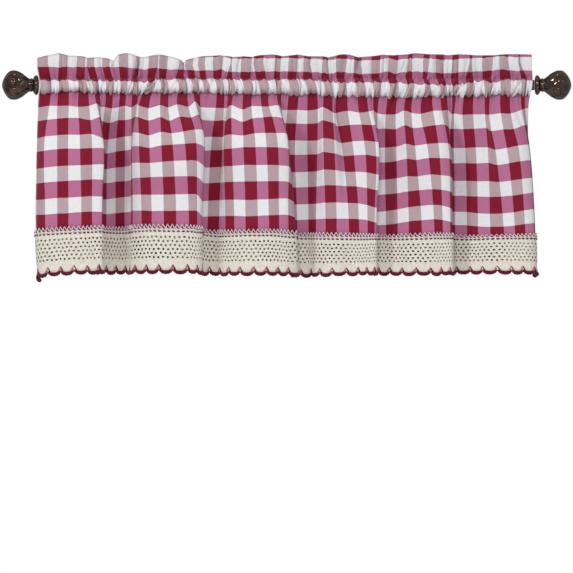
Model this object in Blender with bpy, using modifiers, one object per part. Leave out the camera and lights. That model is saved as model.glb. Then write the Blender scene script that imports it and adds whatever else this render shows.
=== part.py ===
"""Rod-pocket window valance with a crocheted lace hem, gathered on a plain rod with turned finials.

Frame: metres, +X to the viewer's right, -Y towards the viewer, +Z up. The origin is the middle of the
rod's axis. The cloth is one sheet: it rises from the hem, passes in front of the rod, folds over at
the top of the heading and ends behind the lower line of stitching.
"""

import math

import bpy
import numpy as np

MM = 0.001

# Driving sizes of the cloth, in millimetres
STRIPE_COUNT = 63
ROW_HEIGHT = 26.5
CLOTH_THICKNESS = 1.0
LOWER_STITCH_Z = -14.0
UPPER_STITCH_Z = 10.4
SEAM_LAYER_GAP = 2.0
HEADING_BULGE = 3.4
HEADING_SHARES = (0.4, 0.88)
TURNED_END_Z = -18.0
TURNED_END_BACK = 1.5

# Driving sizes of the trim, in millimetres
SCALLOP_COUNT = 57
TRIM_ROW = 8.75
HEM_LAP = 7.0
LACE_THICKNESS = 1.2
LACE_TO_BAND = 42.0
LACE_TO_NOTCH = 59.0
LACE_TO_TIP = 69.0
EDGING_TO_NOTCH = 71.0
EDGING_TO_TIP = 75.0
EDGING_THICKNESS = 1.6
SEWN_GAP = 0.5
EDGING_DROP = 0.9
EDGE_GAP = 0.3

# Driving sizes of the rod and finials, in millimetres
ROD_RADIUS = 8.0
ROD_HALF_LENGTH = 384.0
POCKET_REACH = 10.8
POCKET_LOW_Z = -6.0
POCKET_HIGH_Z = 4.5
FINIAL_SIDES = 14
ROD_SIDES = 24

# The gathers, one to a scallop: their depth at each level, and how soon they fade down the skirt
STITCH_GATHER = 2.2
POCKET_GATHER = 3.4
HEADING_GATHER = 3.2
GATHER_FADE_ROWS = 0.6

# The folds of the skirt, in millimetres, a row for each crest, edge, hidden return and valley.
# stripe counts check columns from the left end; the x columns are where that stripe hangs at the
# pocket, just under it, half way down and above the trim; the y columns are its depth there.
FOLDS = np.array([
    # stripe, pocket_x, top_x, mid_x, low_x, mid_y, low_y
    (0.0, -382.0, -384.0, -386.0, -390.0, 4.0, 2.0),
    (1.0, -374.0, -378.0, -386.0, -387.0, -16.0, -17.0),
    (2.0, -364.0, -366.0, -375.0, -374.0, -32.0, -31.0),
    (5.0, -322.0, -323.0, -320.0, -318.0, -41.0, -42.0),
    (7.0, -300.0, -297.0, -284.0, -286.0, -35.0, -38.0),
    (8.6, -284.0, -284.5, -292.0, -294.0, -9.0, -10.0),
    (9.8, -270.0, -272.0, -280.0, -282.0, 6.0, 6.0),
    (11.3, -254.0, -256.0, -261.0, -261.5, 19.0, 16.0),
    (12.8, -239.0, -242.0, -241.0, -242.0, 8.0, 9.0),
    (13.9, -231.0, -231.0, -239.0, -239.0, -14.0, -10.0),
    (15.0, -214.0, -226.0, -228.5, -225.0, -34.0, -29.0),
    (17.5, -188.0, -190.0, -186.0, -181.0, -49.0, -46.0),
    (20.0, -153.0, -153.5, -141.0, -139.0, -45.0, -42.0),
    (21.0, -145.0, -144.0, -126.0, -129.0, -36.0, -34.0),
    (22.2, -131.0, -131.0, -129.0, -132.0, -13.0, -12.0),
    (23.0, -108.0, -109.0, -117.0, -122.0, -4.0, -3.0),
    (24.0, -96.0, -97.0, -99.0, -104.0, -2.0, -2.0),
    (25.0, -88.0, -91.0, -97.0, -95.0, -21.0, -18.0),
    (27.0, -66.0, -68.0, -67.0, -64.0, -38.0, -35.0),
    (29.0, -41.5, -40.0, -32.0, -28.0, -43.0, -41.0),
    (31.1, -15.0, -14.0, 2.0, 4.0, -34.0, -36.0),
    (32.4, -3.0, -6.0, -5.0, -3.0, -12.0, -14.0),
    (33.6, 15.0, 12.0, 6.0, 8.0, 5.0, 3.0),
    (35.0, 32.0, 32.0, 32.0, 33.5, 10.0, 9.0),
    (36.0, 47.0, 48.0, 48.0, 46.0, 4.0, 4.0),
    (37.0, 59.5, 57.0, 57.0, 60.0, -12.0, -8.0),
    (38.0, 71.0, 71.0, 74.0, 77.0, -17.0, -13.0),
    (39.0, 82.0, 76.0, 86.0, 95.0, -4.0, -10.0),
    (40.0, 94.0, 94.0, 103.0, 111.0, -5.0, -11.0),
    (41.5, 116.0, 118.0, 130.0, 131.0, -17.0, -20.0),
    (42.4, 128.0, 130.0, 142.5, 139.0, -16.0, -18.0),
    (43.5, 141.0, 137.0, 138.0, 135.0, 4.0, 2.0),
    (44.7, 157.0, 151.0, 148.0, 149.0, 13.0, 12.0),
    (46.0, 175.0, 170.0, 170.5, 172.0, 8.0, 8.0),
    (47.0, 189.0, 183.0, 186.0, 189.0, -4.0, -2.0),
    (48.0, 199.0, 194.0, 200.0, 208.0, -17.0, -10.0),
    (50.0, 224.0, 225.5, 236.0, 241.0, -27.0, -25.0),
    (51.4, 243.0, 243.0, 258.0, 259.0, -19.0, -22.0),
    (52.9, 256.0, 256.0, 250.0, 251.0, 3.0, 0.0),
    (54.1, 268.0, 262.0, 260.5, 262.0, 12.0, 11.0),
    (56.0, 292.0, 289.0, 294.0, 296.5, 1.0, 2.0),
    (57.0, 307.0, 307.0, 312.5, 315.0, -4.0, -5.0),
    (58.0, 319.0, 314.0, 325.0, 335.0, -17.0, -12.0),
    (60.0, 348.0, 346.0, 360.0, 368.0, -22.0, -24.0),
    (61.0, 364.0, 364.0, 377.0, 382.0, -13.0, -18.0),
    (62.0, 372.0, 371.0, 379.0, 384.0, 3.0, -2.0),
    (63.0, 381.0, 378.0, 375.0, 379.0, 16.0, 11.0),
])

# How low each stretch hangs, in millimetres: the fourth check row, the trim's top and the scallops
DROPS = np.array([
    # stripe, mid_z, trim_z, tip_z
    (0.0, -106.0, -223.5, -307.0),
    (1.0, -105.0, -223.0, -301.0),
    (3.4, -101.0, -220.5, -295.5),
    (6.6, -98.5, -217.5, -293.5),
    (11.4, -103.5, -220.0, -294.5),
    (15.5, -97.0, -216.0, -293.5),
    (19.4, -91.5, -217.0, -293.5),
    (23.5, -102.5, -225.0, -296.5),
    (29.5, -97.0, -223.5, -296.0),
    (33.8, -108.5, -229.0, -299.0),
    (37.5, -104.5, -229.0, -297.0),
    (41.2, -109.5, -230.5, -295.0),
    (45.5, -120.0, -232.0, -296.0),
    (49.3, -114.0, -228.5, -296.0),
    (55.6, -122.5, -233.0, -293.5),
    (60.7, -118.0, -230.5, -294.0),
    (63.0, -117.0, -230.5, -300.0),
])

# The heading's uneven top edge, in millimetres above the rod's axis
HEADING_TOP = np.array([
    # stripe, top_z
    (0.0, 42.0), (3.5, 46.5), (5.5, 44.0), (7.5, 41.5), (9.7, 42.0), (11.2, 47.0),
    (13.9, 42.0), (17.5, 46.0), (21.0, 42.5), (27.8, 40.0), (30.0, 46.0),
    (32.0, 40.5), (34.0, 45.0), (37.5, 40.5), (39.3, 45.5), (41.0, 41.0), (44.5, 46.0), (48.0, 45.5),
    (52.0, 42.0), (59.6, 46.0), (63.0, 42.0),
])

# Rows of the sheet down the skirt, counted in check rows from the lower stitch line
SKIRT_ROWS = (8.0, 7.0, 5.5, 4.0, 2.7, 1.5, 0.6)
TOP_LEVEL, MID_LEVEL, LOW_LEVEL = 0.55, 3.5, 7.3
DROP_MID_ROW = 4.0
TIP_ROW = TRIM_ROW + EDGING_TO_TIP / ROW_HEIGHT
TOP_SHARE = 0.2
HEM_X_SHARE = 0.4
HEM_KICK_LEFT, HEM_KICK_RIGHT = -3.0, -16.0
STITCH_Y = -2.0


def curve_through(knots, values, at):
    """Smooth curve through values at uneven knots, read at the given places."""
    knots, values = np.asarray(knots, float), np.asarray(values, float)
    slopes = np.gradient(values, knots)
    span = np.clip(np.searchsorted(knots, at) - 1, 0, len(knots) - 2)
    width = knots[span + 1] - knots[span]
    t = (at - knots[span]) / width
    near = values[span] * (1 + 2 * t) * (1 - t) ** 2 + slopes[span] * width * t * (1 - t) ** 2
    far = values[span + 1] * t * t * (3 - 2 * t) - slopes[span + 1] * width * t * t * (1 - t)
    return near + far


def unevenness(stripe):
    """How strong the gather at a stripe is: about 0.5 to 1.4, and less in the last stripes."""
    to_end = min(stripe, STRIPE_COUNT - stripe)
    calm = min(1.0, 0.3 + 0.5 * to_end)
    return calm * (0.95 + 0.28 * math.sin(1.7 * stripe + 0.5) + 0.2 * math.sin(3.1 * stripe + 2.0))


class Column:
    """One upright line of the gathered cloth, two to a scallop, alternately forward and back."""

    def __init__(self, index):
        self.stripe = STRIPE_COUNT * index / (2 * SCALLOP_COUNT)
        self.wave = (1 if index % 2 else -1) * unevenness(self.stripe)
        pocket_x, top_x, mid_x, low_x, mid_y, low_y = (
            float(curve_through(FOLDS[:, 0], FOLDS[:, column], self.stripe)) for column in range(1, 7))
        mid_z, trim_z, tip_z = (
            float(curve_through(DROPS[:, 0], DROPS[:, column], self.stripe)) for column in range(1, 4))
        self.pocket_x = pocket_x
        self.heading_z = float(np.interp(self.stripe, HEADING_TOP[:, 0], HEADING_TOP[:, 1]))
        kick = np.interp(self.stripe, (0, STRIPE_COUNT), (HEM_KICK_LEFT, HEM_KICK_RIGHT))
        levels = (0.0, TOP_LEVEL, MID_LEVEL, LOW_LEVEL, TIP_ROW)
        hem_x = low_x + HEM_X_SHARE * (low_x - mid_x)
        top_y = STITCH_Y + TOP_SHARE * min(mid_y - STITCH_Y, 0.0)
        self.x_curve = levels, (pocket_x, top_x, mid_x, low_x, hem_x)
        self.y_curve = levels, (STITCH_Y, top_y, mid_y, low_y, low_y + kick)
        self.z_curve = (0.0, DROP_MID_ROW, TRIM_ROW, TIP_ROW), (LOWER_STITCH_Z, mid_z, trim_z, tip_z)

    def skirt_point(self, row):
        """A point of the skirt or trim, row check rows below the lower stitch line."""
        gather = STITCH_GATHER * math.exp(-row / GATHER_FADE_ROWS) * self.wave
        x, y, z = (float(curve_through(*curve, row)) for curve in (self.x_curve, self.y_curve, self.z_curve))
        return np.array((x, y - gather, z))

    def layer_point(self, side, reach, z, gather):
        """A point of the front (side -1) or back (side 1) layer above the lower stitch line."""
        return np.array((self.pocket_x, side * reach - gather * self.wave, z))

    def pocket_point(self, side, z):
        """A point where the pocket passes the rod: each gather stands off it, front and back in turn."""
        stand_off = POCKET_GATHER * max(0.0, -side * self.wave)
        return np.array((self.pocket_x, side * (POCKET_REACH + stand_off), z))

    def heading_point(self, side, share):
        """A point of the standing heading, share of the way up from the upper stitch line."""
        z = UPPER_STITCH_Z + share * (self.heading_z - UPPER_STITCH_Z)
        gather = STITCH_GATHER + (HEADING_GATHER - STITCH_GATHER) * share
        return self.layer_point(side, HEADING_BULGE, z, gather)

    def cloth_line(self):
        """The whole sheet at this column, from the front hem over the heading to the turned end."""
        half_gap = SEAM_LAYER_GAP / 2
        hem_row = TRIM_ROW + HEM_LAP / ROW_HEIGHT
        line = [self.skirt_point(row) for row in (hem_row, *SKIRT_ROWS, 0.0)]
        line += [self.pocket_point(-1, z) for z in (POCKET_LOW_Z, POCKET_HIGH_Z)]
        line.append(self.layer_point(-1, half_gap, UPPER_STITCH_Z, STITCH_GATHER))
        line += [self.heading_point(-1, share) for share in HEADING_SHARES]
        line.append(self.heading_point(0, 1.0))
        line += [self.heading_point(1, share) for share in reversed(HEADING_SHARES)]
        line.append(self.layer_point(1, half_gap, UPPER_STITCH_Z, STITCH_GATHER))
        line += [self.pocket_point(1, z) for z in (POCKET_HIGH_Z, POCKET_LOW_Z)]
        stitch_y = STITCH_Y + SEAM_LAYER_GAP
        line.append(self.layer_point(1, stitch_y, LOWER_STITCH_Z, STITCH_GATHER))
        line.append(self.layer_point(1, stitch_y + TURNED_END_BACK, TURNED_END_Z, STITCH_GATHER))
        return line


class TrimSurface:
    """The skirt's facets carried on past the hem, so that the trim lies flat on the same folds."""

    def __init__(self, columns):
        self.columns = columns

    def fold_point(self, index, row, offset):
        """A point on column index, moved offset millimetres off the cloth towards its front."""
        last = len(self.columns) - 1
        here = self.columns[index].skirt_point(row)
        before = self.columns[max(index - 1, 0)].skirt_point(row)
        after = self.columns[min(index + 1, last)].skirt_point(row)
        below = self.columns[index].skirt_point(row + 0.1)
        normal = np.cross(below - here, after - before)
        return here + offset * normal / np.linalg.norm(normal)

    def point(self, place, row, offset):
        """A point at a place counted in half scallops, on the straight facet between two columns."""
        index = min(int(place), len(self.columns) - 2)
        share = place - index
        near = self.fold_point(index, row, offset)
        far = self.fold_point(index + 1, row, offset)
        return near + share * (far - near)


def plain_material(name, colour, roughness, metallic=0.0):
    material = bpy.data.materials.new(name)
    material.use_nodes = True
    shader = material.node_tree.nodes["Principled BSDF"]
    shader.inputs["Base Color"].default_value = (*colour, 1.0)
    shader.inputs["Roughness"].default_value = roughness
    shader.inputs["Metallic"].default_value = metallic
    return material


def new_object(name, points, faces, material, collection):
    """An object from points in millimetres and faces of point numbers."""
    mesh = bpy.data.meshes.new(name)
    mesh.from_pydata([tuple(point * MM) for point in points], [], faces)
    mesh.materials.append(material)
    made = bpy.data.objects.new(name, mesh)
    collection.objects.link(made)
    return made


def thicken(sheet, thickness):
    """Gives an open sheet its thickness, half to each side."""
    solid = sheet.modifiers.new("thickness", "SOLIDIFY")
    solid.thickness = thickness * MM
    solid.offset = 0.0


def build_cloth(columns, collection):
    """The one-piece cloth, lofted from column to column."""
    lines = [column.cloth_line() for column in columns]
    height = len(lines[0])
    points = [point for line in lines for point in line]
    faces = []
    for left in range(len(lines) - 1):
        for step in range(height - 1):
            corner = left * height + step
            faces.append((corner, corner + height, corner + height + 1, corner + 1))
    material = plain_material("check_cotton", (0.42, 0.10, 0.18), 0.9)
    cloth = new_object("valance_cloth", points, faces, material, collection)
    thicken(cloth, CLOTH_THICKNESS)


def scallop_depth(place, notch, tip):
    """Trim depth in millimetres along a scalloped outline; place counts half scallops."""
    phase = (place / 2) % 1.0
    return notch + (tip - notch) * math.sin(math.pi * phase) ** 0.5


def trim_row(depth):
    """The cloth row at a depth in millimetres below the trim's top edge."""
    return TRIM_ROW + depth / ROW_HEIGHT


def build_lace(surface, collection):
    """The lace band, lapped over the front of the hem, with its points along the lower outline."""
    offset = CLOTH_THICKNESS / 2 + SEWN_GAP + LACE_THICKNESS / 2
    band_row = trim_row(LACE_TO_BAND)
    points, faces = [], []
    for index in range(len(surface.columns)):
        points.append(surface.point(index, TRIM_ROW, offset))
        points.append(surface.point(index, band_row, offset))
    lower = len(points)
    for quarter in range(2 * len(surface.columns) - 1):
        place = quarter / 2
        depth = scallop_depth(place, LACE_TO_NOTCH, LACE_TO_TIP)
        points.append(surface.point(place, trim_row(depth), offset))
    for index in range(len(surface.columns) - 1):
        top, bottom = 2 * index, lower + 2 * index
        faces.append((top, top + 1, top + 3, top + 2))
        faces.append((top + 1, bottom, bottom + 1))
        faces.append((top + 1, bottom + 1, top + 3))
        faces.append((top + 3, bottom + 1, bottom + 2))
    material = plain_material("ecru_cotton", (0.78, 0.74, 0.64), 0.9)
    lace = new_object("lace_band", points, faces, material, collection)
    thicken(lace, LACE_THICKNESS)


def build_edging(surface, collection):
    """The burgundy edge that fills the notches between the lace's points and rounds their tips."""
    offset = CLOTH_THICKNESS / 2 + SEWN_GAP + LACE_THICKNESS / 2
    points, faces = [], []
    for quarter in range(2 * len(surface.columns) - 1):
        place = quarter / 2
        upper = scallop_depth(place, LACE_TO_NOTCH, LACE_TO_TIP) + EDGING_DROP
        lower = scallop_depth(place, EDGING_TO_NOTCH, EDGING_TO_TIP)
        points.append(surface.point(place, trim_row(upper), offset))
        points.append(surface.point(place, trim_row(lower), offset))
        if quarter:
            corner = 2 * (quarter - 1)
            faces.append((corner, corner + 1, corner + 3, corner + 2))
    material = plain_material("burgundy_cotton", (0.13, 0.01, 0.02), 0.8)
    edging = new_object("scallop_edging", points, faces, material, collection)
    thicken(edging, EDGING_THICKNESS)


def build_rod(collection, material):
    """The plain rod through the pocket."""
    bpy.ops.mesh.primitive_cylinder_add(
        vertices=ROD_SIDES, radius=ROD_RADIUS * MM, depth=2 * ROD_HALF_LENGTH * MM,
        rotation=(0.0, math.pi / 2, 0.0))
    rod = bpy.context.active_object
    rod.name = "rod"
    rod.data.materials.append(material)
    rod.data.shade_smooth()
    rod.data.set_sharp_from_angle(angle=math.radians(40))
    for home in list(rod.users_collection):
        home.objects.unlink(rod)
    collection.objects.link(rod)


def finial_profile():
    """Radius and distance from the rod's end, in millimetres, from the tip back to the collar."""
    return [
        (0.0, 57.2), (7.0, 56.0), (15.2, 51.0), (21.6, 45.0), (24.0, 38.5), (21.9, 31.0),
        (18.6, 24.8), (13.5, 18.5), (9.8, 14.2), (10.7, 12.2), (10.7, 10.6), (9.4, 9.2),
        (13.5, 7.4), (15.6, 5.4), (15.6, 3.2), (12.4, 0.0), (0.0, 0.0),
    ]


def build_finial(name, side, collection, material):
    """A turned finial: collar, bead, neck and faceted ball. side is 1 at the right end, -1 at the left."""
    profile = [np.array((radius, 0.0, reach)) for radius, reach in finial_profile()]
    edges = [(step, step + 1) for step in range(len(profile) - 1)]
    mesh = bpy.data.meshes.new(name)
    mesh.from_pydata([tuple(point * MM) for point in profile], edges, [])
    mesh.materials.append(material)
    finial = bpy.data.objects.new(name, mesh)
    collection.objects.link(finial)
    turn = finial.modifiers.new("turn", "SCREW")
    turn.axis = "Z"
    turn.steps = FINIAL_SIDES
    turn.render_steps = FINIAL_SIDES
    turn.use_merge_vertices = True
    turn.merge_threshold = 0.00001
    turn.use_smooth_shade = False
    finial.location = (side * (ROD_HALF_LENGTH + EDGE_GAP) * MM, 0.0, 0.0)
    finial.rotation_euler = (0.0, side * math.pi / 2, 0.0)


def build_valance():
    for old in list(bpy.data.objects):
        bpy.data.objects.remove(old)
    collection = bpy.data.collections.new("window_valance")
    bpy.context.scene.collection.children.link(collection)
    columns = [Column(index) for index in range(2 * SCALLOP_COUNT + 1)]
    surface = TrimSurface(columns)
    build_cloth(columns, collection)
    build_lace(surface, collection)
    build_edging(surface, collection)
    bronze = plain_material("antique_bronze", (0.035, 0.02, 0.012), 0.3, 1.0)
    build_rod(collection, bronze)
    build_finial("finial_right", 1, collection, bronze)
    build_finial("finial_left", -1, collection, bronze)


build_valance()
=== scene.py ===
import math

import bpy
import numpy as np
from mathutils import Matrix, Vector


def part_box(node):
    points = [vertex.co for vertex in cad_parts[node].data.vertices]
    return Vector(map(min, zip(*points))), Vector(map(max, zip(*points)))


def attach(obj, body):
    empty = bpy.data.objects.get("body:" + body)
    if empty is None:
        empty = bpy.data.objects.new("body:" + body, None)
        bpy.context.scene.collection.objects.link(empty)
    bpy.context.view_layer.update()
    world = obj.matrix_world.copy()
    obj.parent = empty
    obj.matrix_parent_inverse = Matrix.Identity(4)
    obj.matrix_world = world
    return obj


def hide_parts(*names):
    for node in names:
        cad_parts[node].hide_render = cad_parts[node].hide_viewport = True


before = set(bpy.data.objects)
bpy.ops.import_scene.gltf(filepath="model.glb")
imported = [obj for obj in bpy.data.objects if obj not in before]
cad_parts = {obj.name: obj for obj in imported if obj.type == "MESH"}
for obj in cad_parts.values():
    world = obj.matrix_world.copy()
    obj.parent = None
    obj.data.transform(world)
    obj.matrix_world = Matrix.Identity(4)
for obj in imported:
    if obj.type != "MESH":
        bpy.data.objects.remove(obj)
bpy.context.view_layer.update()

# The camera, the light and the floor
# The valance hangs in plain white studio light and is seen square on from far away, as in the
# photograph, whose frame is 573 pixels of 1.55 mm wide with the rod near its top.
PHOTO_SIDE = 573
PIXEL = 0.00155
ROD_PIXEL_X, ROD_PIXEL_Y = 286.7, 85.1
CAMERA_DISTANCE = 24.0
SENSOR = 36.0
camera_data = bpy.data.cameras.new("camera")
camera_data.sensor_width = SENSOR
camera_data.lens = SENSOR * CAMERA_DISTANCE / (PHOTO_SIDE * PIXEL)
camera_data.clip_end = 100.0
camera = bpy.data.objects.new("camera", camera_data)
camera.location = ((PHOTO_SIDE / 2 - ROD_PIXEL_X) * PIXEL, -CAMERA_DISTANCE,
                   (ROD_PIXEL_Y - PHOTO_SIDE / 2) * PIXEL)
camera.rotation_euler = (math.radians(90.0), 0.0, 0.0)
bpy.context.collection.objects.link(camera)
bpy.context.scene.camera = camera
bpy.context.scene.view_settings.view_transform = "Standard"

CLOTH_MIDDLE_Z = -0.12


def soft_light(name, place, size, watts):
    """A square studio light that faces the middle of the cloth."""
    data = bpy.data.lights.new(name, "AREA")
    data.size = size
    data.energy = watts
    light = bpy.data.objects.new(name, data)
    light.location = place
    toward = bpy.data.objects.new(name + "_aim", None)
    toward.location = (0.0, 0.0, CLOTH_MIDDLE_Z)
    aim = light.constraints.new("TRACK_TO")
    aim.target = toward
    aim.track_axis = "TRACK_NEGATIVE_Z"
    aim.up_axis = "UP_Y"
    for made in (light, toward):
        bpy.context.collection.objects.link(made)


soft_light("key_light", (-2.4, -2.6, 1.5), 0.5, 46.0)
soft_light("high_light", (-0.2, -2.7, 1.3), 0.35, 18.0)
soft_light("low_light", (-0.2, -2.9, -0.95), 0.25, 6.0)
soft_light("right_light", (2.6, -1.6, 1.2), 0.3, 6.5)
soft_light("right_low_light", (2.6, -1.6, -0.9), 0.3, 2.5)
soft_light("overhead_light", (-0.2, -0.4, 2.6), 0.4, 5.0)

# The studio is white to the camera and a softer grey as a light
STUDIO_GLOW = 0.40
world = bpy.data.worlds.new("studio")
world.use_nodes = True
studio = world.node_tree
seen_by_camera = studio.nodes.new("ShaderNodeLightPath")
glow = studio.nodes.new("ShaderNodeMapRange")
glow.inputs["To Min"].default_value = STUDIO_GLOW
glow.inputs["To Max"].default_value = 1.0
studio.links.new(seen_by_camera.outputs["Is Camera Ray"], glow.inputs["Value"])
studio.links.new(glow.outputs["Result"], studio.nodes["Background"].inputs["Strength"])
studio.nodes["Background"].inputs["Color"].default_value = (1.0, 1.0, 1.0, 1.0)
bpy.context.scene.world = world

FLOOR_HALF, FLOOR_Z = 2.2, -1.1


def new_finish(name, roughness, metallic=0.0):
    """A new material and its shader."""
    material = bpy.data.materials.new(name)
    material.use_nodes = True
    shader = material.node_tree.nodes["Principled BSDF"]
    shader.inputs["Roughness"].default_value = roughness
    shader.inputs["Metallic"].default_value = metallic
    return material, shader


def add_piece(name, points, faces, *finishes):
    """A smooth mesh from its points and faces, with its finishes."""
    mesh = bpy.data.meshes.new(name)
    mesh.from_pydata(np.reshape(points, (-1, 3)).tolist(), [], faces)
    for finish in finishes:
        mesh.materials.append(finish)
    mesh.shade_smooth()
    piece = bpy.data.objects.new(name, mesh)
    bpy.context.collection.objects.link(piece)
    return piece


floor_paint, floor_shader = new_finish("floor_paint", 0.9)
floor_shader.inputs["Base Color"].default_value = (0.8, 0.8, 0.8, 1.0)
floor_corners = [(x * FLOOR_HALF, y * FLOOR_HALF, FLOOR_Z) for x, y in ((-1, -1), (1, -1), (1, 1), (-1, 1))]
floor = add_piece("floor", floor_corners, [(0, 1, 2, 3)], floor_paint)

# The rod
# A steel tube in antique bronze paint. The cloth covers nearly all of it, so the frame's own rod
# stays and only takes the paint, which is brown-black with a worn golden bloom.


def add_node(material, kind, **settings):
    """A node in a material, with its plain settings given by name."""
    node = material.node_tree.nodes.new(kind)
    for setting, value in settings.items():
        setattr(node, setting, value)
    return node


def wire(material, value, node, entry):
    """Gives a node's input a plain number or colour, or joins another node's output to it."""
    if isinstance(value, bpy.types.NodeSocket):
        material.node_tree.links.new(value, node.inputs[entry])
    else:
        node.inputs[entry].default_value = value


def noise(material, scale, detail):
    """A noise texture read in the piece's own space."""
    texture = add_node(material, "ShaderNodeTexNoise")
    wire(material, scale, texture, "Scale")
    wire(material, detail, texture, "Detail")
    wire(material, add_node(material, "ShaderNodeTexCoord").outputs["Object"], texture, "Vector")
    return texture.outputs["Fac"]


def ramp(material, source, stops):
    """A ramp between two colours, each given with its position."""
    node = add_node(material, "ShaderNodeValToRGB")
    for element, (position, colour) in zip(node.color_ramp.elements, stops):
        element.position = position
        element.color = (*colour, 1.0)
    wire(material, source, node, "Fac")
    return node.outputs["Color"]


def bump(material, height, strength, distance, under=None):
    """Bump from a texture, laid over another bump if there is one."""
    node = add_node(material, "ShaderNodeBump")
    wire(material, strength, node, "Strength")
    wire(material, distance, node, "Distance")
    wire(material, height, node, "Height")
    if under is not None:
        wire(material, under, node, "Normal")
    return node.outputs["Normal"]


BRONZE_DARK = (0.030, 0.015, 0.009)
BRONZE_WORN = (0.12, 0.064, 0.036)
BLOOM_SCALE, DENT_SCALE, DENT_DEPTH = 110.0, 260.0, 0.0009
bronze, bronze_shader = new_finish("antique_bronze", 0.14, 0.9)
bronze_colour = ramp(bronze, noise(bronze, BLOOM_SCALE, 4.0), [(0.36, BRONZE_DARK), (0.72, BRONZE_WORN)])
wire(bronze, bronze_colour, bronze_shader, "Base Color")
wire(bronze, bump(bronze, noise(bronze, DENT_SCALE, 2.0), 0.35, DENT_DEPTH), bronze_shader, "Normal")
bronze_shader.inputs["Coat Weight"].default_value = 0.9
bronze_shader.inputs["Coat Roughness"].default_value = 0.04
bronze_shader.inputs["Specular Tint"].default_value = (0.45, 0.34, 0.26, 1.0)
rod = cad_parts["rod"]
rod.data.materials.clear()
rod.data.materials.append(bronze)

# The finials
# Cast metal balls on a turned neck, bead and collar, with rings of shallow hammered dimples. They
# are pushed onto the rod's ends, and each dimple throws its own small light.
MM = 0.001
FINIAL_AROUND = 72
# The outline from the collar's inner face outwards, in mm as in all the tables below
FINIAL_PROFILE = np.array([
    # radius, reach
    (0.0, 0.0), (9.0, 0.0), (12.0, 0.3), (14.6, 1.6), (15.6, 3.4), (15.5, 5.2), (13.9, 6.9),
    (11.2, 8.4), (9.6, 9.3), (9.5, 9.9), (10.6, 10.7), (10.9, 11.5), (10.5, 12.4), (9.8, 13.4),
    (10.2, 14.6), (11.3, 16.0), (12.9, 17.8), (14.6, 19.8), (16.4, 22.0), (18.3, 24.4), (20.0, 26.8),
    (21.4, 29.2), (22.4, 31.6), (23.2, 34.0), (23.7, 36.4), (23.9, 38.8), (23.6, 41.2), (22.8, 43.6),
    (21.5, 45.8), (19.9, 47.8), (17.9, 49.6), (15.6, 51.3), (13.0, 52.9), (10.2, 54.3), (7.2, 55.6),
    (4.2, 56.5), (1.6, 57.0), (0.0, 57.1),
])
# The rings of dimples: how many go round, and where
DIMPLES = (
    # count, reach, turn, half width, depth
    (8, 20.5, 0.5, 3.6, 1.3),
    (10, 29.0, 0.0, 4.2, 1.9),
    (12, 38.5, 0.5, 4.2, 1.9),
    (9, 47.5, 0.0, 3.8, 1.6),
)
DIMPLE_SQUASH = 1.15
WELD_REACH = 0.00002


def ring_faces(lines, steps, sides):
    """Faces from each ring of points to the next, along one or more lines of rings."""
    rings = np.arange(lines * steps * sides).reshape(lines, steps, sides)
    near, far = rings[:, :-1], np.roll(rings, -1, axis=2)[:, :-1]
    return np.stack((near, far, far + sides, near + sides), axis=-1).reshape(-1, 4).tolist()


def make_finial(name, side, node):
    """A finial at the right (side 1) or left (side -1) end of the rod."""
    low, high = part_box(node)
    start = low.x if side > 0 else high.x
    radius, reach = FINIAL_PROFILE[:, :1], FINIAL_PROFILE[:, 1:]
    angle = np.linspace(0.0, 2 * math.pi, FINIAL_AROUND, endpoint=False)[None, :]
    cut = np.zeros((len(FINIAL_PROFILE), FINIAL_AROUND))
    for count, ring_reach, turn, half_width, depth in DIMPLES:
        pitch = 2 * math.pi / count
        off = (angle / pitch + turn) % 1.0 - 0.5
        away = np.hypot(off * pitch * radius, (reach - ring_reach) * DIMPLE_SQUASH) / half_width
        cut = cut + depth * np.exp(-away ** 2)
    rounded = (radius - cut) * MM
    points = np.stack(np.broadcast_arrays(start + side * reach * MM, rounded * np.cos(angle) * side,
                                          rounded * np.sin(angle)), axis=-1)
    finial = add_piece(name, points, ring_faces(1, len(FINIAL_PROFILE), FINIAL_AROUND), bronze)
    weld = finial.modifiers.new("weld", "WELD")
    weld.merge_threshold = WELD_REACH
    rounding = finial.modifiers.new("rounding", "SUBSURF")
    rounding.levels = rounding.render_levels = 1
    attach(finial, "root")
    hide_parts(node)


make_finial("finial_ball_right", 1, "finial_right")
make_finial("finial_ball_left", -1, "finial_left")

# The valance cloth
# One length of yarn-dyed check cotton. It is gathered on the rod by its pocket, stands above it as a
# ruffled heading, and hangs below it in uneven folds; its back layer is sewn in at the pocket.
STRIPES = 63
STRIPE_FLAT = 0.0194
ROW_FLAT = 0.0265
TRIM_ROW = 8.75
TRIM_DEPTH = 0.075
TIP_ROW = TRIM_ROW + TRIM_DEPTH / ROW_FLAT
HEM_ROW = TRIM_ROW + 0.007 / ROW_FLAT
CLOTH_THICKNESS = 0.0009
# The check rows at which the folds' columns just under the pocket, half way and above the trim hold
TOP_LEVEL, MID_LEVEL, LOW_LEVEL = 0.40, 3.5, 7.3
# How much of the next level's turn is taken at the stitches, forward and sideways, and at the hem
TOP_SHARE, FOOT_X_SHARE, HEM_X_SHARE = 0.2, 0.75, 0.4
# How far forward the hem kicks at the left and the right end, in mm
HEM_KICK = (-3.0, -16.0)
# The left end's lower corner curls in, and both ends lie calmer than the rest
END_CURL, END_CURL_STRIPES = 0.012, 0.9
END_CALM, END_CALM_STRIPES = 0.15, 1.5
UPPER_STITCH_Z, STITCH_Y, SEAM_GAP = 0.0104, -0.002, 0.002
POCKET_REACH, POCKET_ROUNDNESS = 0.0108, 0.55
HEADING_BULGE = 0.0036
# How soon the heading takes its own width and its creases, and loses the stitches' sideways pull
HEADING_SPREAD, HEADING_CREASE_RISE, NECK_FADE = 1.5, 2.0, 1.5
# The back layer's raw end, sewn in just under the lower stitches
TURNED_END_ROW, TURNED_END_GAP = 0.2, 0.0018
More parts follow.
